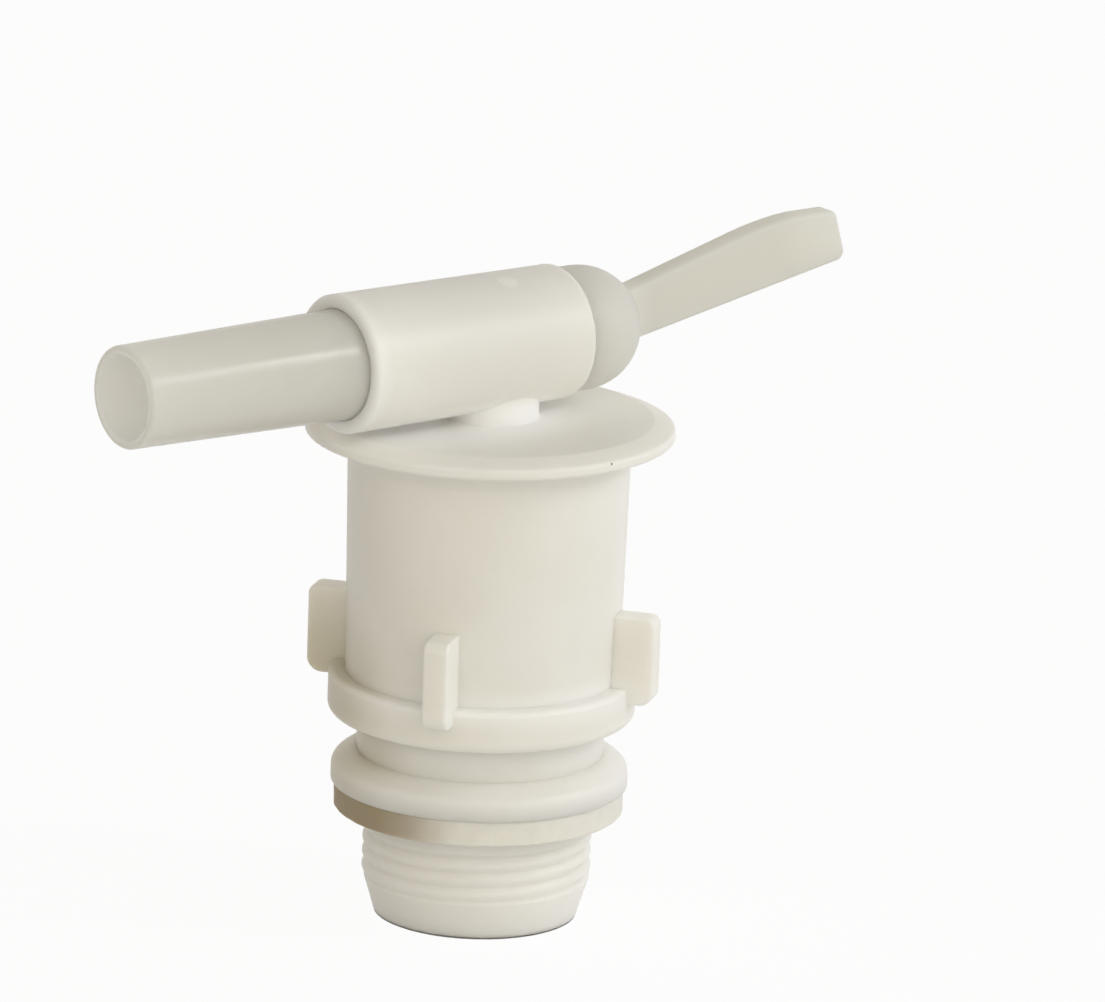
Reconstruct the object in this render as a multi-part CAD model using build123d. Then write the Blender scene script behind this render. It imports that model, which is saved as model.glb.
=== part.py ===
"""Water butt tap with a turning plug: one STEP file for each moulded piece.

The thread's axis is Z and the barrel's axis lies along X, with the spout towards -X and the lever
towards +X. Z = 0 is the sealing face under the gasket, where the tap meets the tank's wall, so the
thread reaches down from there. The plug is shown shut, with its lever leaning away from the tank.
"""

import os
from math import cos, radians, sin, sqrt

from build123d import *

# Threaded tail
thread_diameter = 23.8
thread_length = 11.4
thread_pitch = 1.55
thread_depth = 0.92
thread_crest_width = 0.35
thread_root_width = 0.3
thread_start_angle = 106.0
thread_bury = 0.12
shank_length = 1.8
shank_step = 0.05
lead_length = 4.6
lead_taper = 1.4
tail_tip_wall = 2.0
spigot_step = 0.91
spigot_wall = 2.6
spigot_length = 9.5
spigot_lead = 0.6
exposed_neck = 3.9
tail_flange_thickness = 3.5
tail_flange_land = 0.7
tail_flange_bevel_width = 1.9
tail_flange_bevel_height = 1.35
tail_flange_round = 0.6

# Gasket under the tail's flange
gasket_thickness = 2.7
gasket_set_back = 0.35
gasket_clearance = 0.15

# Snap bead and seal between the tail and the column
fit_clearance = 0.04
tail_bead_height = 0.3
tail_bead_width = 1.4
tail_bead_offset = 2.4
seal_section = 1.5
seal_offset = 6.6
seal_play = 0.04

# Hollow column with its collar
column_length = 29.3
column_foot_wall = 1.35
column_top_wall = 1.8
collar_step = 1.75
collar_height = 4.5
collar_round = 1.1
collar_step_round = 0.6

# Grip lugs round the column
lug_count = 4
lug_angle = 38.0
lug_reach = 4.4
lug_thickness = 2.7
lug_height = 9.4
lug_offset = 2.8
lug_top_round = 1.0
lug_foot_round = 1.6
lug_edge_round = 0.3

# Flange at the column's top
flange_thickness = 2.6
flange_flat_width = 2.25
flange_bevel_width = 2.2
flange_rim_thickness = 1.0
flange_rim_round = 0.4
flange_root_margin = 0.35

# Neck and barrel
passage_bore = 6.4
neck_wall = 1.75
neck_round = 0.35
barrel_gap = 0.7
barrel_spout_end = 19.8
barrel_lever_end = 8.4
barrel_spout_wall = 1.4
barrel_lever_wall = 1.2
barrel_round = 0.5
barrel_far_round = 0.9
barrel_mouth_chamfer = 0.1

# Turning plug with the spout, head and lever
plug_diameter = 11.5
turning_clearance = 0.05
end_play = 0.05
plug_bead_height = 0.3
plug_bead_width = 1.2
plug_bead_offset = 4.6
port_inset = 0.1
spout_reach = 46.3
spout_root_step = 0.05
spout_draft = 0.4
spout_lip_wall = 0.9
spout_bore_draft = 0.2
spout_lip_round = 0.3
bore_past_port = 1.4
head_step = 0.5
head_straight = 2.4

# Lever blade, with heights measured from the barrel's axis
lever_thickness = 2.7
lever_reach = 45.0
lever_top = 8.75
lever_flat_length = 5.0
lever_bend_reach = 31.1
lever_bend_height = 7.5
lever_root_height = 2.0
lever_root_depth = 3.2
lever_tip_depth = 5.3
lever_tip_slope = 1.6
lever_corner = 1.0
lever_edge_round = 0.5

# Levels and radii that follow from the sizes above
thread_radius = thread_diameter / 2
thread_end = -thread_length
thread_root_radius = thread_radius - thread_depth
shank_radius = thread_radius + shank_step
lead_radius = thread_radius - lead_taper
tail_bore_radius = lead_radius - tail_tip_wall
tail_flange_top = gasket_thickness + tail_flange_thickness
column_foot = tail_flange_top + exposed_neck
collar_top = column_foot + collar_height
spigot_top = column_foot + spigot_length
spigot_radius = thread_radius + spigot_step
column_bore_radius = spigot_radius + fit_clearance
spigot_bore_radius = spigot_radius - spigot_wall
tail_bevel_radius = spigot_radius + tail_flange_land
tail_flange_radius = tail_bevel_radius + tail_flange_bevel_width
gasket_radius = tail_flange_radius - gasket_set_back
tail_bead_level = column_foot + tail_bead_offset
seal_level = column_foot + seal_offset
seal_groove_radius = column_bore_radius - seal_section - seal_play
column_foot_radius = column_bore_radius + column_foot_wall
column_top_radius = column_bore_radius + column_top_wall
collar_radius = column_foot_radius + collar_step
flange_bottom = column_foot + column_length
flange_top = flange_bottom + flange_thickness
flange_flat_radius = column_top_radius + flange_flat_width
flange_radius = flange_flat_radius + flange_bevel_width
flange_root_round = flange_flat_width - flange_root_margin
passage_radius = passage_bore / 2
neck_radius = passage_radius + neck_wall
plug_radius = plug_diameter / 2
barrel_bore_radius = plug_radius + turning_clearance
barrel_spout_radius = barrel_bore_radius + barrel_spout_wall
barrel_lever_radius = barrel_bore_radius + barrel_lever_wall
barrel_height = flange_top + barrel_gap + barrel_spout_radius
plug_bead_place = -barrel_spout_end + plug_bead_offset
shoulder_place = barrel_lever_end + end_play
port_radius = passage_radius - port_inset
spout_root_radius = plug_radius - spout_root_step
spout_tip_radius = spout_root_radius - spout_draft
spout_bore_radius = spout_tip_radius - spout_lip_wall
spout_bore_inner_radius = spout_bore_radius - spout_bore_draft
head_radius = barrel_lever_radius - head_step
lever_root = shoulder_place + head_straight
barrel_axis = Axis((0, 0, barrel_height), (1, 0, 0))


def turned_about_thread(points):
    """Turn a closed outline of (radius, level) points about the thread's axis."""
    wire = Polyline(*[(radius, 0, level) for radius, level in points], close=True)
    return revolve(make_face(wire), axis=Axis.Z, revolution_arc=360)


def turned_about_barrel(points):
    """Turn a closed outline of (radius, place along X) points about the barrel's axis."""
    wire = Polyline(*[(place, 0, barrel_height + radius) for radius, place in points], close=True)
    return revolve(make_face(wire), axis=barrel_axis, revolution_arc=360)


def bead_outline(radius, height, width, place):
    """Give the outline of a snap bead with sloped flanks that stands proud of a turned surface."""
    sunk = radius - height
    half = width / 2
    flank = min(height, 0.45 * half)
    return [
        (sunk, place - half),
        (radius, place - half),
        (radius + height, place - half + flank),
        (radius + height, place + half - flank),
        (radius, place + half),
        (sunk, place + half),
    ]


def edges_at(shape, level, radius):
    """Pick the round edges about Z at one level and radius."""
    found = []
    for edge in shape.edges().filter_by(GeomType.CIRCLE):
        middle = edge.arc_center
        on_axis = sqrt(middle.X ** 2 + middle.Y ** 2) < 0.01
        if on_axis and abs(middle.Z - level) < 0.01 and abs(edge.radius - radius) < 0.01:
            found.append(edge)
    return found


def barrel_edges_at(shape, place, radius):
    """Pick the round edges about the barrel's axis at one place along X and one radius."""
    found = []
    for edge in shape.edges().filter_by(GeomType.CIRCLE):
        middle = edge.arc_center
        on_axis = abs(middle.Y) < 0.01 and abs(middle.Z - barrel_height) < 0.01
        if on_axis and abs(middle.X - place) < 0.01 and abs(edge.radius - radius) < 0.01:
            found.append(edge)
    return found


def make_thread_ridge():
    """Make the thread's right-hand ridge, from a turn below the tail's end up into the plain shank."""
    flank_width = (thread_pitch - thread_crest_width - thread_root_width) / 2
    half_crest = thread_crest_width / 2
    half_foot = half_crest + flank_width * (thread_depth + thread_bury) / thread_depth
    foot = thread_end - thread_pitch
    height = half_foot + thread_bury - shank_length - foot
    path = Helix(thread_pitch, height, thread_root_radius, center=(0, 0, foot))
    wire = Polyline(
        (thread_root_radius - thread_bury, 0, foot - half_foot),
        (thread_radius, 0, foot - half_crest),
        (thread_radius, 0, foot + half_crest),
        (thread_root_radius - thread_bury, 0, foot + half_foot),
        close=True,
    )
    return Rot(0, 0, thread_start_angle) * sweep(make_face(wire), path=path, is_frenet=True)


def make_lead_cutter():
    """Make the tool that points the thread: all that lies outside the lead's cone or below its end."""
    foot = thread_end - 2 * thread_pitch
    outer = thread_radius + lead_taper
    cone_top = thread_end + lead_length * (outer - lead_radius) / lead_taper
    return turned_about_thread([
        (0, foot),
        (outer, foot),
        (outer, cone_top),
        (lead_radius, thread_end),
        (0, thread_end),
    ])


def make_threaded_sleeve():
    """Make the tube with the screw thread, which the tail's shank closes round at its top."""
    sleeve = turned_about_thread([
        (tail_bore_radius, thread_end),
        (thread_root_radius, thread_end),
        (thread_root_radius, 0),
        (tail_bore_radius, 0),
    ])
    return sleeve + make_thread_ridge() - make_lead_cutter()


def make_tail():
    """Make the threaded tail: screw thread, flange and the spigot that goes up into the column."""
    bevel_foot = tail_flange_top - tail_flange_bevel_height
    outline = [
        (tail_bore_radius, -shank_length),
        (shank_radius, -shank_length),
        (shank_radius, 0),
        (thread_root_radius, 0),
        (thread_root_radius, gasket_thickness),
        (tail_flange_radius, gasket_thickness),
        (tail_flange_radius, bevel_foot),
        (tail_bevel_radius, tail_flange_top),
        (spigot_radius, tail_flange_top),
        (spigot_radius, spigot_top - spigot_lead),
        (spigot_radius - spigot_lead, spigot_top),
        (spigot_bore_radius, spigot_top),
        (spigot_bore_radius, bevel_foot),
        (tail_bore_radius, gasket_thickness),
    ]
    tail = turned_about_thread(outline)
    tail = fillet(edges_at(tail, bevel_foot, tail_flange_radius), tail_flange_round)
    tail = fillet(edges_at(tail, tail_flange_top, tail_bevel_radius), tail_flange_round)
    bead = bead_outline(spigot_radius, tail_bead_height, tail_bead_width, tail_bead_level)
    tail += turned_about_thread(bead)
    groove_half = seal_section / 2 + seal_play
    groove = [
        (seal_groove_radius, seal_level - groove_half),
        (column_bore_radius, seal_level - groove_half),
        (column_bore_radius, seal_level + groove_half),
        (seal_groove_radius, seal_level + groove_half),
    ]
    tail -= turned_about_thread(groove)
    return tail + make_threaded_sleeve()


def make_seal():
    """Make the round ring in the spigot's groove that seals the tail in the column."""
    section_radius = seal_section / 2
    ring_radius = seal_groove_radius + seal_play / 2 + section_radius
    return Pos(0, 0, seal_level) * Torus(ring_radius, section_radius)


def make_gasket():
    """Make the flat washer that lies against the tank's wall."""
    washer = Cylinder(gasket_radius, gasket_thickness)
    hole = Cylinder(shank_radius + gasket_clearance, gasket_thickness)
    return Pos(0, 0, gasket_thickness / 2) * (washer - hole)


def make_lug(angle):
    """Make one upright lug that stands out of the column and runs down into its collar."""
    inner = column_bore_radius + column_foot_wall / 2
    outer = column_foot_radius + lug_reach
    foot = column_foot + lug_offset
    width = outer - inner
    plate = Pos((inner + outer) / 2, 0, foot + lug_height / 2) * Box(width, lug_thickness, lug_height)
    corners = plate.edges().filter_by(Axis.Y).sort_by(Axis.X)[-2:].sort_by(Axis.Z)
    plate = fillet(corners[0], lug_foot_round)
    corners = plate.edges().filter_by(Axis.Y).sort_by(Axis.Z)[-2:].sort_by(Axis.X)
    plate = fillet(corners[-1], lug_top_round)
    sides = []
    for edge in plate.edges():
        middle = edge.position_at(0.5)
        on_side = abs(abs(middle.Y) - lug_thickness / 2) < 0.001
        if on_side and middle.X > column_foot_radius + lug_edge_round:
            sides.append(edge)
    return Rot(0, 0, angle) * fillet(sides, lug_edge_round)


def make_column():
    """Make the outer form of the column with its collar, top flange and lugs."""
    rim_foot = flange_bottom + (flange_thickness - flange_rim_thickness) / 2
    rim_top = rim_foot + flange_rim_thickness
    outline = [
        (0, column_foot),
        (collar_radius, column_foot),
        (collar_radius, collar_top),
        (column_foot_radius, collar_top),
        (column_top_radius, flange_bottom),
        (flange_flat_radius, flange_bottom),
        (flange_radius, rim_foot),
        (flange_radius, rim_top),
        (flange_flat_radius, flange_top),
        (0, flange_top),
    ]
    column = turned_about_thread(outline)
    column = fillet(edges_at(column, rim_foot, flange_radius), flange_rim_round)
    column = fillet(edges_at(column, rim_top, flange_radius), flange_rim_round)
    column = fillet(edges_at(column, flange_top, flange_flat_radius), flange_rim_round)
    column = fillet(edges_at(column, column_foot, collar_radius), collar_round)
    column = fillet(edges_at(column, collar_top, collar_radius), collar_step_round)
    column = fillet(edges_at(column, flange_bottom, column_top_radius), flange_root_round)
    for index in range(lug_count):
        column += make_lug(lug_angle + index * 360 / lug_count)
    return column


def make_body():
    """Make the tap's body: column, neck and barrel in one moulding."""
    body = make_column()
    barrel_length = barrel_spout_end + barrel_lever_end
    barrel_middle = (barrel_lever_end - barrel_spout_end) / 2
    along_x = Rot(0, 90, 0)
    barrel = Cone(barrel_spout_radius, barrel_lever_radius, barrel_length)
    barrel = Pos(barrel_middle, 0, barrel_height) * along_x * barrel
    barrel = fillet(barrel_edges_at(barrel, -barrel_spout_end, barrel_spout_radius), barrel_round)
    barrel = fillet(barrel_edges_at(barrel, barrel_lever_end, barrel_lever_radius), barrel_far_round)
    neck_length = barrel_height - flange_bottom
    neck = Pos(0, 0, flange_bottom + neck_length / 2) * Cylinder(neck_radius, neck_length)
    body += neck + barrel
    neck_edges = []
    for edge in body.edges():
        middle = edge.center(CenterOf.BOUNDING_BOX)
        box = edge.bounding_box()
        on_neck = abs(box.size.X - 2 * neck_radius) < 0.01 and abs(box.size.Y - 2 * neck_radius) < 0.01
        if on_neck and middle.Z > flange_top - 0.01:
            neck_edges.append(edge)
    body = fillet(neck_edges, neck_round)
    cavity_height = flange_bottom - column_foot
    body -= Pos(0, 0, column_foot + cavity_height / 2) * Cylinder(column_bore_radius, cavity_height)
    passage_height = barrel_height - flange_bottom
    passage = Cylinder(passage_radius, passage_height)
    body -= Pos(0, 0, flange_bottom + passage_height / 2) * passage
    bore = Cylinder(barrel_bore_radius, barrel_length)
    body -= Pos(barrel_middle, 0, barrel_height) * along_x * bore
    tail_groove = bead_outline(
        column_bore_radius, tail_bead_height, tail_bead_width + 2 * fit_clearance, tail_bead_level
    )
    body -= turned_about_thread(tail_groove)
    plug_groove = bead_outline(
        barrel_bore_radius, plug_bead_height, plug_bead_width + 2 * turning_clearance, plug_bead_place
    )
    body -= turned_about_barrel(plug_groove)
    mouth = barrel_edges_at(body, -barrel_spout_end, barrel_bore_radius)
    return chamfer(mouth, barrel_mouth_chamfer)


def make_lever():
    """Make the flat lever blade, which rises away from the tank towards its tip."""
    flat_start = lever_reach - lever_tip_slope - lever_flat_length
    tip_top = (lever_reach - lever_tip_slope, lever_top)
    tip_foot = (lever_reach, lever_top - lever_tip_depth)
    with BuildSketch(Plane.XZ) as face:
        with BuildLine():
            Line((lever_root, 0), (lever_root, lever_root_height))
            Line((lever_root, lever_root_height), (lever_bend_reach, lever_bend_height))
            TangentArc(
                (lever_bend_reach, lever_bend_height), (flat_start, lever_top),
                tangent=(lever_bend_reach - lever_root, lever_bend_height - lever_root_height),
            )
            Line((flat_start, lever_top), tip_top)
            Line(tip_top, tip_foot)
            Line(tip_foot, (lever_root, -lever_root_depth))
            Line((lever_root, -lever_root_depth), (lever_root, 0))
        make_face()
        corners = face.vertices().sort_by(Axis.X)[-2:]
        fillet(corners, lever_corner)
    blade = Pos(0, 0, barrel_height) * extrude(face.sketch, amount=lever_thickness / 2, both=True)
    rounded = []
    for edge in blade.edges():
        middle = edge.position_at(0.5)
        on_side = abs(abs(middle.Y) - lever_thickness / 2) < 0.001
        if on_side and middle.X > lever_root + 0.01:
            rounded.append(edge)
    return fillet(rounded, lever_edge_round)


def make_plug():
    """Make the turning plug: spout tube, journal with its side port, domed head and lever."""
    tip = -spout_reach
    face = -barrel_spout_end
    dome_middle = radians(45)
    bore_end = port_radius + bore_past_port
    centre = barrel_height
    with BuildSketch(Plane.XZ) as section:
        with BuildLine():
            Polyline(
                (tip, centre + spout_bore_radius),
                (tip, centre + spout_tip_radius),
                (face, centre + spout_root_radius),
                (face, centre + plug_radius),
                (shoulder_place, centre + plug_radius),
                (shoulder_place, centre + head_radius),
                (lever_root, centre + head_radius),
            )
            ThreePointArc(
                (lever_root, centre + head_radius),
                (lever_root + head_radius * sin(dome_middle), centre + head_radius * cos(dome_middle)),
                (lever_root + head_radius, centre),
            )
            Polyline(
                (lever_root + head_radius, centre),
                (bore_end, centre),
                (bore_end, centre + spout_bore_inner_radius),
                (tip, centre + spout_bore_radius),
            )
        make_face()
    plug = revolve(section.sketch, axis=barrel_axis, revolution_arc=360)
    plug = fillet(barrel_edges_at(plug, tip, spout_tip_radius), spout_lip_round)
    bead = bead_outline(plug_radius, plug_bead_height, plug_bead_width, plug_bead_place)
    plug += turned_about_barrel(bead)
    port_depth = plug_diameter
    port = Pos(0, -port_depth / 2, barrel_height) * Rot(90, 0, 0) * Cylinder(port_radius, port_depth)
    plug -= port
    return plug + make_lever()


pieces = {
    "tap_body": make_body(),
    "turning_plug": make_plug(),
    "threaded_tail": make_tail(),
    "tail_seal_ring": make_seal(),
    "flange_gasket": make_gasket(),
}

os.makedirs("parts", exist_ok=True)
for name, piece in pieces.items():
    export_step(piece, os.path.join("parts", name + ".step"))
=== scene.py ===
"""Water butt tap: finishes for its moulded pieces, its screw thread, its washer, and the studio around it.

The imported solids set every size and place. The tap's body, its turning plug and its seal ring are shown
as they are, with finishes of natural plastic and rubber. The threaded tail and its washer are modelled
again here, because a worn thread and an uneven rim differ from the plain forms of their solids.
"""

import logging
import math
from dataclasses import dataclass
from enum import Enum

import bmesh
import bpy
from mathutils import Matrix, Vector, noise


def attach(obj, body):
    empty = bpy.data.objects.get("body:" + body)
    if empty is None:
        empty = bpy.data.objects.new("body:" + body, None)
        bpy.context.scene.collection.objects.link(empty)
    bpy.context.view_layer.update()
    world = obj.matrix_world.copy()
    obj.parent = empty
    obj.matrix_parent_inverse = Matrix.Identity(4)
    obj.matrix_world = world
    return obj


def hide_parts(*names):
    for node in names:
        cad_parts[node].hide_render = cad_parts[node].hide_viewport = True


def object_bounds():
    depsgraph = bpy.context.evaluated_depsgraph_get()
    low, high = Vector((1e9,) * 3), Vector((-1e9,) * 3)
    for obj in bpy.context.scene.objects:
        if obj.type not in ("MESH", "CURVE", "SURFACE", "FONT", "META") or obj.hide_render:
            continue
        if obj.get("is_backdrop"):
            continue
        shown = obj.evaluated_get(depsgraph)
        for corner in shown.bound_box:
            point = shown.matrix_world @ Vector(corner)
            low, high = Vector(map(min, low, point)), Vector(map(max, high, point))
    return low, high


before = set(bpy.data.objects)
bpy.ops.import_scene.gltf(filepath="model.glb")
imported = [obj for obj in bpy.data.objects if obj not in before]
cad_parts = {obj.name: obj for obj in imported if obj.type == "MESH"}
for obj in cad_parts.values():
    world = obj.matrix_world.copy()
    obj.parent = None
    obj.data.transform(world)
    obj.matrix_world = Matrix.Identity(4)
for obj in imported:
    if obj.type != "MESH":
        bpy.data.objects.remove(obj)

LOG = logging.getLogger("water_butt_tap")
MM = 0.001
SAME_PLACE = 0.001 * MM
SAME_RING = 0.004 * MM
SEEN_RAYS = ("Is Camera Ray", "Is Glossy Ray", "Is Transmission Ray")
WHITE = (1.0, 1.0, 1.0, 1.0)

Colour = tuple[float, float, float]
Place = tuple[float, float, float]


class Body(Enum):
    """The body that the pieces made here ride on."""

    TAP = "tap"


class Node(Enum):
    """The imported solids."""

    BODY = "tap_body"
    PLUG = "turning_plug"
    TAIL = "threaded_tail"
    SEAL = "tail_seal_ring"
    GASKET = "flange_gasket"


class Slot(Enum):
    """The record's material slots of the pieces made here."""

    TAIL = "tail_plastic"
    GASKET = "gasket_rubber"


class Signal:
    """A number on its way through a material, on which Python's operators add Math nodes."""

    def __init__(self, graph: "Graph", socket: bpy.types.NodeSocket) -> None:
        """Wrap an output socket.

        Args:
            graph: The material that the socket belongs to.
            socket: The output that gives the number.
        """
        self.graph = graph
        self.socket = socket

    def _math(self, operation: str, first: "Signal | float", second: "Signal | float") -> "Signal":
        """Add one Math node.

        Args:
            operation: The node's operation.
            first: Its first number.
            second: Its second number.

        Returns:
            The result.
        """
        return self.graph.signal("ShaderNodeMath", {"operation": operation}, {0: first, 1: second})

    def __add__(self, other: "Signal | float") -> "Signal":
        """Add a number or another signal."""
        return self._math("ADD", self, other)

    __radd__ = __add__

    def __sub__(self, other: "Signal | float") -> "Signal":
        """Take away a number or another signal."""
        return self._math("SUBTRACT", self, other)

    def __rsub__(self, other: float) -> "Signal":
        """Take this signal away from a number."""
        return self._math("SUBTRACT", other, self)

    def __mul__(self, other: "Signal | float") -> "Signal":
        """Multiply by a number or another signal."""
        return self._math("MULTIPLY", self, other)

    __rmul__ = __mul__


class Graph:
    """The node tree of a material or of the world, with a single method that adds any node."""

    def __init__(self, owner: bpy.types.Material | bpy.types.World, place: str = "Object") -> None:
        """Empty a node tree.

        Args:
            owner: The material or world that is built.
            place: The coordinate that its textures follow.
        """
        owner.use_nodes = True
        self.owner = owner
        self.tree = owner.node_tree
        self.tree.nodes.clear()
        self.place = self.node("ShaderNodeTexCoord", {}, {}).outputs[place]

    @classmethod
    def of_material(cls, name: str) -> "Graph":
        """Start an empty material."""
        return cls(bpy.data.materials.new(name))

    def node(self, kind: str, settings: dict[str, object], inputs: dict[str | int, object]) -> bpy.types.Node:
        """Add a node.

        Args:
            kind: The node's type.
            settings: Its properties, which are set first.
            inputs: Its sockets by name, identifier or index, each with a value, a signal or a socket.

        Returns:
            The new node.
        """
        made = self.tree.nodes.new(kind)
        for key, value in settings.items():
            setattr(made, key, value)
        for key, value in inputs.items():
            socket = self._socket(made, key)
            if isinstance(value, Signal):
                self.tree.links.new(value.socket, socket)
            elif isinstance(value, bpy.types.NodeSocket):
                self.tree.links.new(value, socket)
            else:
                socket.default_value = value
        return made

    def signal(self, kind: str, settings: dict[str, object], inputs: dict[str | int, object]) -> Signal:
        """Add a node and wrap its first output that is in use.

        Args:
            kind: The node's type.
            settings: Its properties.
            inputs: Its sockets.

        Returns:
            The output as a signal.
        """
        made = self.node(kind, settings, inputs)
        return Signal(self, next(out for out in made.outputs if out.enabled))

    def mix(self, factor: "Signal | float", first: object, second: object) -> bpy.types.NodeSocket:
        """Blend two colours.

        Args:
            factor: The share of the second colour.
            first: A colour or a colour socket.
            second: A colour or a colour socket.

        Returns:
            The blended colour's socket.
        """
        inputs = {"Factor_Float": factor, "A_Color": solid(first), "B_Color": solid(second)}
        made = self.node("ShaderNodeMix", {"data_type": "RGBA"}, inputs)
        return next(out for out in made.outputs if out.identifier == "Result_Color")

    def grain(self, size: float, detail: float) -> Signal:
        """Give a soft noise between 0 and 1.

        Args:
            size: The width of its patches in metres.
            detail: How many finer layers it has.

        Returns:
            The noise.
        """
        scale = Vector([1 / size] * 3)
        place = self.node("ShaderNodeMapping", {}, {"Vector": self.place, "Scale": scale}).outputs[0]
        inputs = {"Vector": place, "Scale": 1.0, "Detail": detail, "Roughness": 0.5}
        return self.signal("ShaderNodeTexNoise", {"noise_dimensions": "3D"}, inputs)

    def span(self, source: Signal, start: float, end: float) -> Signal:
        """Turn the stretch of a signal between two levels into 0 to 1, with soft ends.

        Args:
            source: The signal.
            start: The level that gives 0.
            end: The level that gives 1.

        Returns:
            The new signal.
        """
        settings = {"interpolation_type": "SMOOTHSTEP", "clamp": True}
        inputs = {"Value": source, "From Min": start, "From Max": end, "To Min": 0.0, "To Max": 1.0}
        return self.signal("ShaderNodeMapRange", settings, inputs)

    def bump(self, height: Signal, depth: float) -> bpy.types.NodeSocket:
        """Give a normal that a height field tilts.

        Args:
            height: The height, from 0 to 1.
            depth: The height of 1, in metres.

        Returns:
            The normal's socket.
        """
        return self.node("ShaderNodeBump", {}, {"Height": height, "Distance": depth}).outputs["Normal"]

    def seen(self) -> Signal:
        """Tell the rays that show the white studio from those that light the tap.

        Returns:
            1 for a ray from the camera, in a reflection or through clear plastic, otherwise 0.
        """
        path = self.node("ShaderNodeLightPath", {}, {})
        rays = sum(Signal(self, path.outputs[ray]) for ray in SEEN_RAYS)
        return self.signal("ShaderNodeMath", {"operation": "MINIMUM"}, {0: rays, 1: 1.0})

    def finish(self, shader: bpy.types.Node) -> bpy.types.Material:
        """Send a shader to the surface and give the material.

        Args:
            shader: The last shader node.

        Returns:
            The material.
        """
        self.node("ShaderNodeOutputMaterial", {}, {"Surface": shader.outputs[0]})
        return self.owner

    @staticmethod
    def _socket(made: bpy.types.Node, key: str | int) -> bpy.types.NodeSocket:
        """Find an input of a node.

        Args:
            made: The node.
            key: The input's index, identifier or name.

        Returns:
            The input.
        """
        if isinstance(key, int):
            return made.inputs[key]
        return next(s for s in made.inputs if key in (s.identifier, s.name))


def heading(bearing: float, height: float) -> Vector:
    """Give the direction of a place in the room.

    Args:
        bearing: Its angle round Z from +X, in degrees.
        height: Its angle above the level, in degrees.

    Returns:
        A vector of length 1.
    """
    turn = math.radians(bearing)
    rise = math.radians(height)
    return Vector((math.cos(turn) * math.cos(rise), math.sin(turn) * math.cos(rise), math.sin(rise)))


def solid(colour: object) -> object:
    """Give a colour its alpha, and leave a socket as it is.

    Args:
        colour: A colour of three numbers, or anything else that a colour input takes.

    Returns:
        The colour with its alpha, or the same thing.
    """
    if isinstance(colour, tuple) and len(colour) == 3:
        return (*colour, 1.0)
    return colour


@dataclass(frozen=True)
class Band:
    """A stretch of a piece along one direction, in millimetres, over which a shade comes in."""

    along: Place
    start: float
    end: float
    shade: Colour
    dulling: float = 0.0

    def share(self, graph: Graph) -> Signal:
        """Give 0 before the stretch, 1 past it and a soft change in between.

        Args:
            graph: The material that is built.

        Returns:
            The share of the band's shade.
        """
        inputs = {0: graph.place, 1: Vector(self.along)}
        level = graph.signal("ShaderNodeVectorMath", {"operation": "DOT_PRODUCT"}, inputs)
        return graph.span(level, self.start * MM, self.end * MM)


@dataclass(frozen=True)
class Patch:
    """A rounded region of a piece, by its middle and its reach along X, Y and Z in millimetres."""

    centre: Place
    reach: Place
    shade: Colour
    strength: float = 1.0
    raised: float = 0.0
    inner: float = 0.8
    outer: float = 1.1

    def share(self, graph: Graph) -> Signal:
        """Give 1 within the region and 0 outside it, with a soft rim.

        Args:
            graph: The material that is built.

        Returns:
            The share of the region's shade.
        """
        from_centre = {0: graph.place, 1: Vector(self.centre) * MM}
        away = graph.node("ShaderNodeVectorMath", {"operation": "SUBTRACT"}, from_centre)
        by_reach = {0: away.outputs["Vector"], 1: Vector(self.reach) * MM}
        scaled = graph.node("ShaderNodeVectorMath", {"operation": "DIVIDE"}, by_reach)
        far = graph.node("ShaderNodeVectorMath", {"operation": "LENGTH"}, {0: scaled.outputs["Vector"]})
        return 1.0 - graph.span(Signal(graph, far.outputs["Value"]), self.inner, self.outer)


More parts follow.
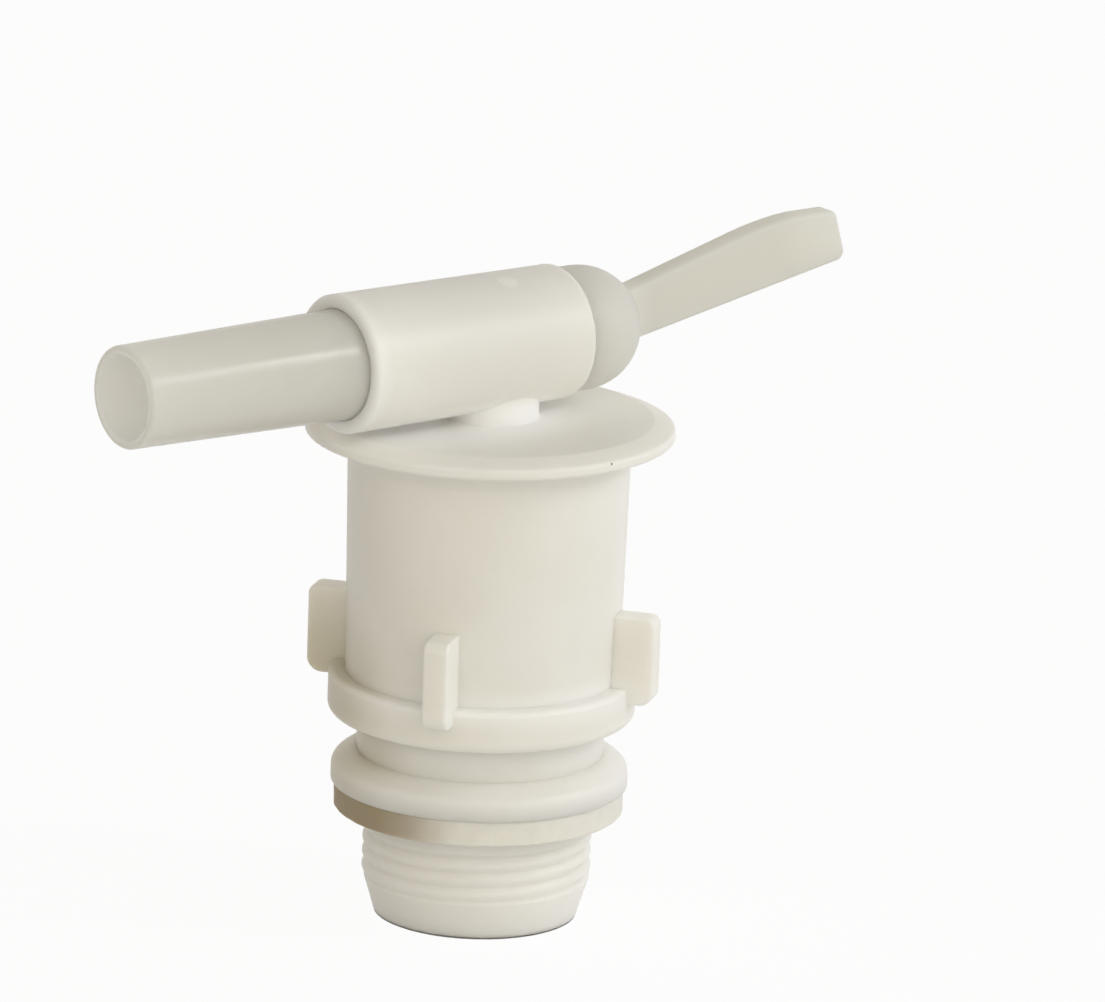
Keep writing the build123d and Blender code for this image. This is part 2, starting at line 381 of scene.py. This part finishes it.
@dataclass(frozen=True)
class NaturalPlastic:
    """Unpigmented moulded plastic, which light enters and leaves again.

    Its flow marks and small clouds lead from the deep shade to the pale one. Flow and skin change its gloss.
    Bands change shade and gloss, patches change shade and height, and through is the light that passes.
    """

    name: str
    pale: Colour
    deep: Colour
    roughness: float
    scatter_depth: float
    scatter: float = 1.0
    scatter_tint: Colour = (1.0, 1.0, 1.0)
    refraction: float = 1.5
    through: float = 0.0
    bands: tuple[Band, ...] = ()
    patches: tuple[Patch, ...] = ()
    flow_size: float = 11 * MM
    flow_share: float = 0.7
    flow_dulling: float = 0.08
    cloud_size: float = 2.2 * MM
    cloud_share: float = 0.3
    deep_level: float = 0.3
    pale_level: float = 0.7
    skin_size: float = 0.5 * MM
    skin_depth: float = 0.006 * MM
    skin_dulling: float = 0.04
    gloss_shift: float = -0.05

    def make(self) -> bpy.types.Material:
        """Build the material.

        Returns:
            The finished material.
        """
        graph = Graph.of_material(self.name)
        flow = graph.grain(self.flow_size, 2.0)
        cloud = graph.grain(self.cloud_size, 3.0)
        skin = graph.grain(self.skin_size, 2.0)
        milk = self.flow_share * flow + self.cloud_share * cloud
        shade = graph.mix(graph.span(milk, self.deep_level, self.pale_level), self.deep, self.pale)
        gloss = self.roughness + self.gloss_shift + self.flow_dulling * flow + self.skin_dulling * skin
        for band in self.bands:
            share = band.share(graph)
            shade = graph.mix(share, shade, band.shade)
            gloss = gloss + band.dulling * share
        height = skin
        for patch in self.patches:
            share = patch.share(graph)
            shade = graph.mix(patch.strength * share, shade, patch.shade)
            if patch.raised:
                height = height + patch.raised * share
        surface = graph.node(
            "ShaderNodeBsdfPrincipled",
            {"subsurface_method": "RANDOM_WALK"},
            {
                "Base Color": shade,
                "Roughness": gloss,
                "IOR": self.refraction,
                "Subsurface Weight": self.scatter,
                "Subsurface Radius": self.scatter_tint,
                "Subsurface Scale": self.scatter_depth,
                "Normal": graph.bump(height, self.skin_depth),
            },
        )
        if not self.through:
            return graph.finish(surface)
        glow = graph.node("ShaderNodeBsdfTranslucent", {}, {"Color": shade})
        inputs = {0: self.through, 1: surface.outputs[0], 2: glow.outputs[0]}
        return graph.finish(graph.node("ShaderNodeMixShader", {}, inputs))


@dataclass(frozen=True)
class WasherRubber:
    """Soft pale rubber with a brown stain and painted shade on one side, and blotches and pores all over."""

    name: str = "washer_rubber"
    pale: Colour = (0.87, 0.855, 0.80)
    browned_and_shaded: Colour = (0.39, 0.32, 0.22)
    away_from_stain_and_shade: Place = (0.7988, -0.6015, 0.0)
    stain_and_shade_start: float = -9.5 * MM
    stain_and_shade_end: float = 0.5 * MM
    ragged_by: float = 2.5 * MM
    ragged_size: float = 4 * MM
    blotch_size: float = 1.4 * MM
    blotch_stain: float = 0.18
    blotch_dulling: float = 0.1
    pore_size: float = 0.22 * MM
    skin_depth: float = 0.04 * MM
    roughness: float = 0.6
    refraction: float = 1.45
    scatter: float = 0.6
    scatter_tint: Colour = (1.0, 0.85, 0.65)
    scatter_depth: float = 1.2 * MM

    def make(self) -> bpy.types.Material:
        """Build the material.

        Returns:
            The finished material.
        """
        graph = Graph.of_material(self.name)
        inputs = {0: graph.place, 1: Vector(self.away_from_stain_and_shade)}
        along = graph.signal("ShaderNodeVectorMath", {"operation": "DOT_PRODUCT"}, inputs)
        # The side towards -X and +Y is darker and browner: partly a brown stain, partly painted shade.
        ragged = along + self.ragged_by * graph.grain(self.ragged_size, 3.0)
        clean_and_lit = graph.span(ragged, self.stain_and_shade_start, self.stain_and_shade_end)
        blotch = graph.grain(self.blotch_size, 4.0)
        pores = graph.grain(self.pore_size, 3.0)
        shade = graph.mix(clean_and_lit, self.browned_and_shaded, self.pale)
        shader = graph.node(
            "ShaderNodeBsdfPrincipled",
            {"subsurface_method": "RANDOM_WALK"},
            {
                "Base Color": graph.mix(self.blotch_stain * blotch, shade, self.browned_and_shaded),
                "Roughness": self.roughness + self.blotch_dulling * blotch,
                "IOR": self.refraction,
                "Subsurface Weight": self.scatter,
                "Subsurface Radius": self.scatter_tint,
                "Subsurface Scale": self.scatter_depth,
                "Normal": graph.bump(0.5 * blotch + 0.5 * pores, self.skin_depth),
            },
        )
        return graph.finish(shader)


@dataclass(frozen=True)
class SealRubber:
    """Pale soft rubber of the ring inside the column, with fine dust on it."""

    name: str = "pale_seal_rubber"
    shade: Colour = (0.78, 0.76, 0.70)
    dusty: Colour = (0.70, 0.675, 0.61)
    roughness: float = 0.5
    dust_size: float = 0.6 * MM
    dust_dulling: float = 0.15
    dust_depth: float = 0.01 * MM

    def make(self) -> bpy.types.Material:
        """Build the material.

        Returns:
            The finished material.
        """
        graph = Graph.of_material(self.name)
        dust = graph.grain(self.dust_size, 3.0)
        shader = graph.node(
            "ShaderNodeBsdfPrincipled",
            {},
            {
                "Base Color": graph.mix(dust, self.shade, self.dusty),
                "Roughness": self.roughness + self.dust_dulling * dust,
                "Normal": graph.bump(dust, self.dust_depth),
            },
        )
        return graph.finish(shader)


@dataclass(frozen=True)
class StudioPaper:
    """The pale floor, which looks white to the camera and still takes the tap's shadow."""

    name: str = "studio_paper"
    shade: Colour = (0.95, 0.95, 0.95)
    lift: float = 0.94

    def make(self) -> bpy.types.Material:
        """Build the material.

        Returns:
            The finished material.
        """
        graph = Graph.of_material(self.name)
        paper = graph.node("ShaderNodeBsdfDiffuse", {}, {"Color": solid(self.shade)})
        white = graph.node("ShaderNodeEmission", {}, {"Color": WHITE, "Strength": 1.0})
        inputs = {0: self.lift * graph.seen(), 1: paper.outputs[0], 2: white.outputs[0]}
        return graph.finish(graph.node("ShaderNodeMixShader", {}, inputs))


class Workshop:
    """Common ways to turn a mesh, to round it and to make it a piece."""

    round_faces: int = 4
    sharp_angle: float = 40.0

    @staticmethod
    def outline(bm: bmesh.types.BMesh, points: list[tuple[float, float]]) -> list[bmesh.types.BMEdge]:
        """Draw a closed outline of (radius, level) points in the XZ plane.

        Args:
            bm: The mesh to draw in.
            points: The outline's points in metres.

        Returns:
            The outline's edges in order.
        """
        corners = [bm.verts.new((radius, 0.0, level)) for radius, level in points]
        return [bm.edges.new((a, b)) for a, b in zip(corners, corners[1:] + corners[:1])]

    @staticmethod
    def turn(bm: bmesh.types.BMesh, steps: int) -> None:
        """Turn everything in the mesh about Z and close the seam.

        Args:
            bm: The mesh.
            steps: The number of faces round the turn.
        """
        bmesh.ops.spin(
            bm, geom=[*bm.verts, *bm.edges], cent=(0, 0, 0), axis=(0, 0, 1), angle=math.tau, steps=steps,
            use_merge=True, use_duplicate=False,
        )
        bmesh.ops.remove_doubles(bm, verts=bm.verts, dist=SAME_PLACE)
        bmesh.ops.recalc_face_normals(bm, faces=bm.faces)

    @staticmethod
    def ring(bm: bmesh.types.BMesh, radius: float, level: float) -> list[bmesh.types.BMEdge]:
        """Pick the edges of one circle about Z.

        Args:
            bm: The mesh.
            radius: The circle's radius.
            level: The circle's height.

        Returns:
            The circle's edges.
        """

        def on_circle(vert: bmesh.types.BMVert) -> bool:
            """Tell whether a vertex lies on the circle."""
            return abs(vert.co.z - level) < SAME_RING and abs(vert.co.xy.length - radius) < SAME_RING

        return [edge for edge in bm.edges if on_circle(edge.verts[0]) and on_circle(edge.verts[1])]

    @classmethod
    def round_ring(cls, bm: bmesh.types.BMesh, radius: float, level: float, amount: float) -> None:
        """Round one circular edge.

        Args:
            bm: The mesh.
            radius: The edge's radius.
            level: The edge's height.
            amount: How far the round reaches.
        """
        bmesh.ops.bevel(
            bm, geom=cls.ring(bm, radius, level), offset=amount, offset_type="OFFSET", affect="EDGES",
            segments=cls.round_faces, profile=0.5, material=-1,
        )

    @classmethod
    def make_piece(cls, bm: bmesh.types.BMesh, name: str, material: bpy.types.Material) -> bpy.types.Object:
        """Make a piece of the mesh, smooth but for its sharp edges.

        Args:
            bm: The finished mesh, which is freed.
            name: The piece's name.
            material: Its finish.

        Returns:
            The piece's object, at the origin.
        """
        mesh = bpy.data.meshes.new(name)
        for face in bm.faces:
            face.smooth = True
        bm.to_mesh(mesh)
        bm.free()
        mesh.set_sharp_from_angle(angle=math.radians(cls.sharp_angle))
        mesh.materials.append(material)
        made = bpy.data.objects.new(name, mesh)
        bpy.context.scene.collection.objects.link(made)
        weighted = made.modifiers.new("even_shading", "WEIGHTED_NORMAL")
        weighted.keep_sharp = True
        return made


def dress(node: Node, material: bpy.types.Material) -> bpy.types.Object:
    """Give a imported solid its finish.

    Args:
        node: The solid.
        material: The finish.

    Returns:
        The solid's object.
    """
    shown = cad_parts[node.value]
    for slot in shown.material_slots:
        slot.material = material
    LOG.info("dressed %s", node.value)
    return shown


@dataclass
class ThreadedTail:
    """The tail: screw thread with its tapered start, lower flange, and the spigot inside the column.

    Its sizes are its solid's, apart from the small rounds and the thread's depth, which is a worn ridge's.
    """

    steps: int = 240
    rings_per_turn: int = 12
    thread_radius: float = 11.9 * MM
    thread_end: float = -11.4 * MM
    thread_pitch: float = 1.55 * MM
    thread_depth: float = 0.36 * MM
    crest_phase: float = 0.35
    crest_share: float = 1.1
    shank_length: float = 1.8 * MM
    shank_radius: float = 11.95 * MM
    lead_radius: float = 10.5 * MM
    lead_start: float = -6.8 * MM
    bore_radius: float = 8.5 * MM
    relief_radius: float = 10.98 * MM
    flange_bottom: float = 2.7 * MM
    flange_radius: float = 15.41 * MM
    bevel_foot: float = 4.85 * MM
    bevel_radius: float = 13.51 * MM
    flange_top: float = 6.2 * MM
    spigot_radius: float = 12.81 * MM
    spigot_bore: float = 10.21 * MM
    spigot_top: float = 19.6 * MM
    spigot_lead: float = 0.6 * MM
    bead_level: float = 12.5 * MM
    bead_height: float = 0.3 * MM
    bead_half: float = 0.7 * MM
    groove_level: float = 16.7 * MM
    groove_half: float = 0.79 * MM
    groove_radius: float = 11.31 * MM
    flange_round: float = 0.6 * MM
    flange_foot_round: float = 0.25 * MM
    tip_round: float = 0.3 * MM
    bore_round: float = 0.2 * MM
    threaded_edges: int = 2

    def _points(self) -> list[tuple[float, float]]:
        """Give the outline's corners, from the open end up the outside and back down the bore.

        Returns:
            Each corner's radius and level. The first three hold the thread's tapered start and the thread.
        """
        flank = self.bead_height
        return [
            (self.lead_radius, self.thread_end),
            (self.thread_radius, self.lead_start),
            (self.thread_radius, -self.shank_length),
            (self.shank_radius, -self.shank_length),
            (self.shank_radius, 0.0),
            (self.relief_radius, 0.0),
            (self.relief_radius, self.flange_bottom),
            (self.flange_radius, self.flange_bottom),
            (self.flange_radius, self.bevel_foot),
            (self.bevel_radius, self.flange_top),
            (self.spigot_radius, self.flange_top),
            (self.spigot_radius, self.bead_level - self.bead_half),
            (self.spigot_radius + self.bead_height, self.bead_level - self.bead_half + flank),
            (self.spigot_radius + self.bead_height, self.bead_level + self.bead_half - flank),
            (self.spigot_radius, self.bead_level + self.bead_half),
            (self.spigot_radius, self.groove_level - self.groove_half),
            (self.groove_radius, self.groove_level - self.groove_half),
            (self.groove_radius, self.groove_level + self.groove_half),
            (self.spigot_radius, self.groove_level + self.groove_half),
            (self.spigot_radius, self.spigot_top - self.spigot_lead),
            (self.spigot_radius - self.spigot_lead, self.spigot_top),
            (self.spigot_bore, self.spigot_top),
            (self.spigot_bore, self.bevel_foot),
            (self.bore_radius, self.flange_bottom),
            (self.bore_radius, self.thread_end),
        ]

    def _cut_thread(self, bm: bmesh.types.BMesh) -> None:
        """Move the fine rings of the thread's blank inwards, to leave a rounded ridge in a right-hand helix.

        Args:
            bm: The turned blank.
        """
        root = self.thread_radius - self.thread_depth
        for vert in bm.verts:
            radius = vert.co.xy.length
            on_blank = self.lead_radius - SAME_PLACE < radius < self.thread_radius + SAME_PLACE
            if vert.co.z > SAME_PLACE - self.shank_length or not on_blank:
                continue
            angle = math.atan2(vert.co.y, vert.co.x) / math.tau
            phase = vert.co.z / self.thread_pitch - angle - self.crest_phase
            ridge = min(1.0, self.crest_share * (0.5 + 0.5 * math.cos(math.tau * phase)))
            vert.co.xy *= min(radius, root + self.thread_depth * ridge) / radius

    def build(self, plastic: bpy.types.Material) -> bpy.types.Object:
        """Turn the tail and cut its thread.

        Args:
            plastic: The tail's finish.

        Returns:
            The tail's object.
        """
        bm = bmesh.new()
        edges = Workshop.outline(bm, self._points())
        ring_height = self.thread_pitch / self.rings_per_turn
        for edge in edges[:self.threaded_edges]:
            cuts = round(edge.calc_length() / ring_height)
            bmesh.ops.subdivide_edges(bm, edges=[edge], cuts=cuts)
        Workshop.turn(bm, self.steps)
        Workshop.round_ring(bm, self.flange_radius, self.bevel_foot, self.flange_round)
        Workshop.round_ring(bm, self.bevel_radius, self.flange_top, self.flange_round)
        Workshop.round_ring(bm, self.flange_radius, self.flange_bottom, self.flange_foot_round)
        self._cut_thread(bm)
        Workshop.round_ring(bm, self.lead_radius, self.thread_end, self.tip_round)
        Workshop.round_ring(bm, self.bore_radius, self.thread_end, self.bore_round)
        made = Workshop.make_piece(bm, "screw_tail", plastic)
        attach(made, Body.TAP.value)
        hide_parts(Node.TAIL.value)
        LOG.info("built %s with %d faces", made.name, len(made.data.polygons))
        return made


@dataclass
class FlangeGasket:
    """The washer under the lower flange, cut from sheet, with an uneven rim."""

    steps: int = 240
    outer_radius: float = 15.06 * MM
    inner_radius: float = 12.1 * MM
    thickness: float = 2.7 * MM
    rim_round: float = 0.3 * MM
    rim_rings: int = 8
    rim_depth: float = 0.5 * MM
    unevenness: float = 0.09 * MM
    unevenness_size: float = 1.6 * MM

    def build(self, rubber: bpy.types.Material) -> bpy.types.Object:
        """Turn the washer and roughen its rim.

        Args:
            rubber: The washer's finish.

        Returns:
            The washer's object.
        """
        bm = bmesh.new()
        points = [
            (self.inner_radius, 0.0),
            (self.outer_radius, 0.0),
            (self.outer_radius, self.thickness),
            (self.inner_radius, self.thickness),
        ]
        edges = Workshop.outline(bm, points)
        bmesh.ops.subdivide_edges(bm, edges=[edges[1]], cuts=self.rim_rings)
        Workshop.turn(bm, self.steps)
        Workshop.round_ring(bm, self.outer_radius, 0.0, self.rim_round)
        Workshop.round_ring(bm, self.outer_radius, self.thickness, self.rim_round)
        for vert in bm.verts:
            radius = vert.co.xy.length
            if radius > self.outer_radius - self.rim_depth:
                wave = noise.noise(vert.co / self.unevenness_size)
                vert.co.xy *= (radius - self.unevenness * max(0.0, 0.5 + wave)) / radius
        made = Workshop.make_piece(bm, "worn_washer", rubber)
        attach(made, Body.TAP.value)
        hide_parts(Node.GASKET.value)
        LOG.info("built %s with %d faces", made.name, len(made.data.polygons))
        return made


@dataclass(frozen=True)
class Lamp:
    """A soft rectangular lamp, aimed at the middle of the tap."""

    name: str
    bearing: float
    height: float
    distance: float
    width: float
    tall: float
    power: float

    def hang(self, aim: Vector) -> None:
        """Place the lamp.

        Args:
            aim: The point that it is turned to.
        """
        light = bpy.data.lights.new(self.name, "AREA")
        light.shape = "RECTANGLE"
        light.size = self.width
        light.size_y = self.tall
        light.energy = self.power
        lamp = bpy.data.objects.new(self.name, light)
        bpy.context.scene.collection.objects.link(lamp)
        away = heading(self.bearing, self.height)
        lamp.location = aim + away * self.distance
        lamp.rotation_euler = (-away).to_track_quat("-Z", "Y").to_euler()
        LOG.info("hung %s", self.name)


@dataclass
class Camera:
    """The camera at the photograph's viewing angle, with its centre and focal length in pixels."""

    azimuth: float = 36.98
    elevation: float = 15.53
    roll: float = -1.89
    distance: float = 1230.5 * MM
    aim_height: float = 28.24 * MM
    focal_pixels: float = 11917.0
    centre_x: float = 486.47
    centre_y: float = 543.33
    image_width: float = 1105.0
    image_height: float = 1002.0
    sensor: float = 36.0
    nearest: float = 0.05
    furthest: float = 20.0

    def place(self) -> None:
        """Create the camera and make it the scene's own."""
        around = math.radians(self.azimuth)
        above = math.radians(self.elevation)
        tilt = math.radians(self.roll)
        outward = -math.cos(above)
        back = Vector((math.sin(around) * outward, math.cos(around) * outward, math.sin(above)))
        level = Vector((math.cos(around), -math.sin(around), 0.0))
        upward = back.cross(level)
        right = math.cos(tilt) * level - math.sin(tilt) * upward
        up = math.sin(tilt) * level + math.cos(tilt) * upward
        data = bpy.data.cameras.new("view")
        data.sensor_width = self.sensor
        data.lens = self.sensor * self.focal_pixels / self.image_width
        data.shift_x = (self.image_width / 2 - self.centre_x) / self.image_width
        data.shift_y = (self.centre_y - self.image_height / 2) / self.image_width
        data.clip_start = self.nearest
        data.clip_end = self.furthest
        camera = bpy.data.objects.new("view", data)
        bpy.context.scene.collection.objects.link(camera)
        turned = Matrix((right, up, back)).transposed().to_4x4()
        place = Vector((0.0, 0.0, self.aim_height)) + self.distance * back
        camera.matrix_world = Matrix.Translation(place) @ turned
        bpy.context.scene.camera = camera
        LOG.info("placed the camera")


@dataclass(frozen=True)
class Glow:
    """Soft light that comes from one side of the room, strongest from its middle."""

    bearing: float
    height: float
    light: Colour

    def share(self, graph: Graph) -> Signal:
        """Give 1 towards its middle, falling to 0 at a right angle to it and behind.

        Args:
            graph: The world that is built.

        Returns:
            The share of its light.
        """
        inputs = {0: graph.place, 1: heading(self.bearing, self.height)}
        facing = graph.signal("ShaderNodeVectorMath", {"operation": "DOT_PRODUCT"}, inputs)
        return graph.signal("ShaderNodeMath", {"operation": "MAXIMUM"}, {0: facing, 1: 0.0})


@dataclass
class Studio:
    """The plain floor, the white surroundings, the soft light of the room and the lamp."""

    floor_half: float = 3.0
    ambient: Colour = (0.20, 0.19, 0.175)
    glows: tuple[Glow, ...] = (
        Glow(-127.0, -20.0, (1.36, 1.29, 1.11)),
        Glow(-37.0, -20.0, (0.78, 0.84, 0.93)),
        Glow(53.0, -20.0, (0.90, 0.80, 0.62)),
    )
    lamp: Lamp = Lamp(
        "front_lamp", bearing=-47.0, height=32.0, distance=0.9, width=0.09, tall=0.22, power=1.15
    )

    def _floor(self, level: float) -> None:
        """Lay the floor.

        Args:
            level: Its height.
        """
        bm = bmesh.new()
        bmesh.ops.create_grid(bm, x_segments=1, y_segments=1, size=self.floor_half)
        bmesh.ops.translate(bm, verts=bm.verts, vec=(0, 0, level))
        mesh = bpy.data.meshes.new("floor")
        bm.to_mesh(mesh)
        bm.free()
        mesh.materials.append(StudioPaper().make())
        floor = bpy.data.objects.new("floor", mesh)
        bpy.context.scene.collection.objects.link(floor)
        floor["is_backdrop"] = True

    def _surroundings(self) -> None:
        """Make what is seen past the floor white, and light the tap itself with the glows."""
        world = bpy.data.worlds.new("surroundings")
        bpy.context.scene.world = world
        graph = Graph(world, "Generated")
        light = Vector(self.ambient)
        for glow in self.glows:
            shared = {0: Vector(glow.light), "Scale": glow.share(graph)}
            side = graph.node("ShaderNodeVectorMath", {"operation": "SCALE"}, shared)
            added = {0: light, 1: side.outputs["Vector"]}
            light = graph.node("ShaderNodeVectorMath", {"operation": "ADD"}, added).outputs["Vector"]
        soft = graph.node("ShaderNodeBackground", {}, {"Color": light, "Strength": 1.0})
        white = graph.node("ShaderNodeBackground", {}, {"Color": WHITE, "Strength": 1.0})
        inputs = {0: graph.seen(), 1: soft.outputs[0], 2: white.outputs[0]}
        blend = graph.node("ShaderNodeMixShader", {}, inputs)
        graph.node("ShaderNodeOutputWorld", {}, {"Surface": blend.outputs[0]})

    def set_up(self, low: Vector, high: Vector) -> None:
        """Set up the studio round the tap.

        Args:
            low: The lowest corner of the tap's box.
            high: The highest corner of the tap's box.
        """
        bpy.context.scene.view_settings.view_transform = "Standard"
        self._floor(low.z)
        self._surroundings()
        self.lamp.hang(Vector((0.0, 0.0, (low.z + high.z) / 2)))


# Regions of the plastic, each by its middle and its reach in millimetres, and by its shade; most are painted
# light or painted shade
SPOUT_ENTRY = (-19.8, 0.0, 49.9)
ENTRY_REACH = (3.0, 9.0, 9.0)
# Painted shade: the low side of the body and tail towards -X and +Y is darker and warmer.
LOW_SIDE_PAINTED_SHADE = Patch((-14.0, 10.0, 10.0), (9.0, 14.0, 14.0), (0.68, 0.64, 0.545), inner=0.4, outer=1.2)
# Painted light: paler plastic under the barrel lifts the shade in the crevice above the flange.
CREVICE_PAINTED_LIGHT = Patch((-4.0, 0.0, 42.6), (17.0, 10.0, 2.4), (0.98, 0.965, 0.93), inner=0.6, outer=1.3)
# Painted light: paler plastic on both sides of the barrel's mouth lifts the shade in the gap round the spout.
BARREL_MOUTH_PAINTED_LIGHT = Patch(SPOUT_ENTRY, ENTRY_REACH, (0.98, 0.965, 0.93), inner=0.6)
SPOUT_ROOT_PAINTED_LIGHT = Patch(SPOUT_ENTRY, ENTRY_REACH, (0.975, 0.96, 0.92), strength=0.8, inner=0.3)
# Painted light: paler plastic inside the spout stands in for light passing through its wall.
SPOUT_INSIDE_PAINTED_LIGHT = Patch((-46.0, 0.0, 49.9), (60.0, 4.8, 4.8), (0.98, 0.975, 0.95), inner=0.95, outer=1.05)
GATE_MARK = Patch((0.0, -2.1, 56.7), (1.1, 1.1, 1.1), (0.97, 0.965, 0.94), strength=0.5, raised=2.0)
SPECK = Patch((1.3, -19.0, 41.05), (0.14, 0.14, 0.14), (0.16, 0.13, 0.10), strength=0.9)
# Painted shade: the barrel is darker, and darker still towards its lever end.
BARREL_PAINTED_SHADE = Patch((-4.0, 0.0, 50.2), (22.0, 9.0, 8.0), (0.825, 0.81, 0.765), strength=0.9, outer=1.0)
BARREL_END_PAINTED_SHADE = Patch(
    (10.0, 0.0, 50.2), (9.0, 10.0, 8.0), (0.76, 0.745, 0.70), strength=0.75, inner=0.2, outer=1.0
)
# Painted light: paler plastic round the collar's ledge lifts the shade in its corner.
LEDGE_PAINTED_LIGHT = Patch((0.0, 0.0, 14.2), (17.0, 17.0, 2.6), (0.965, 0.955, 0.93), inner=0.6, outer=1.3)
# Painted light: the plug's head and the lever's tip are paler.
HEAD_PAINTED_LIGHT = Patch((12.5, 0.0, 49.9), (6.5, 9.0, 9.0), (0.93, 0.92, 0.87), inner=0.6, outer=1.2)
LEVER_TIP_PAINTED_LIGHT = Patch(
    (41.5, 0.0, 57.0), (5.5, 5.0, 4.5), (0.88, 0.875, 0.82), strength=0.7, inner=0.4, outer=1.2
)
DULL_LIP = Band((-1.0, 0.0, 0.0), 28.0, 40.0, (0.86, 0.845, 0.79), dulling=0.04)
GREYER_LEVER = Band((1.0, 0.0, 0.0), -12.0, 4.0, (0.82, 0.81, 0.76), dulling=0.25)

MILKY_PALE = (0.90, 0.885, 0.84)
MILKY_DEEP = (0.87, 0.855, 0.80)
BODY_PLASTIC = NaturalPlastic(
    "milky_plastic", pale=MILKY_PALE, deep=MILKY_DEEP, roughness=0.42, scatter_depth=1.3 * MM,
    patches=(BARREL_PAINTED_SHADE, BARREL_END_PAINTED_SHADE, LEDGE_PAINTED_LIGHT, LOW_SIDE_PAINTED_SHADE, CREVICE_PAINTED_LIGHT, BARREL_MOUTH_PAINTED_LIGHT, GATE_MARK, SPECK),
)
PLUG_PLASTIC = NaturalPlastic(
    "clearer_plastic", pale=(0.87, 0.855, 0.80), deep=(0.84, 0.825, 0.77), roughness=0.19,
    scatter_depth=3.0 * MM, through=0.4, bands=(DULL_LIP, GREYER_LEVER),
    patches=(HEAD_PAINTED_LIGHT, LEVER_TIP_PAINTED_LIGHT, SPOUT_INSIDE_PAINTED_LIGHT, SPOUT_ROOT_PAINTED_LIGHT),
)
TAIL_PLASTIC = NaturalPlastic(
    "tail_milky_plastic", pale=MILKY_PALE, deep=MILKY_DEEP, roughness=0.40, scatter_depth=4.0 * MM,
    patches=(LOW_SIDE_PAINTED_SHADE,),
)


def main() -> None:
    """Dress the tap, model its tail and washer, and set up the studio."""
    logging.basicConfig(level=logging.INFO, format="%(name)s: %(message)s")
    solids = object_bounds()
    Camera().place()
    Studio().set_up(*solids)
    dress(Node.BODY, BODY_PLASTIC.make())
    dress(Node.PLUG, PLUG_PLASTIC.make())
    dress(Node.SEAL, SealRubber().make())
    ThreadedTail().build(TAIL_PLASTIC.make())
    FlangeGasket().build(WasherRubber().make())
    LOG.info("wrote the two boxes")


if __name__ == "__main__":
    main()
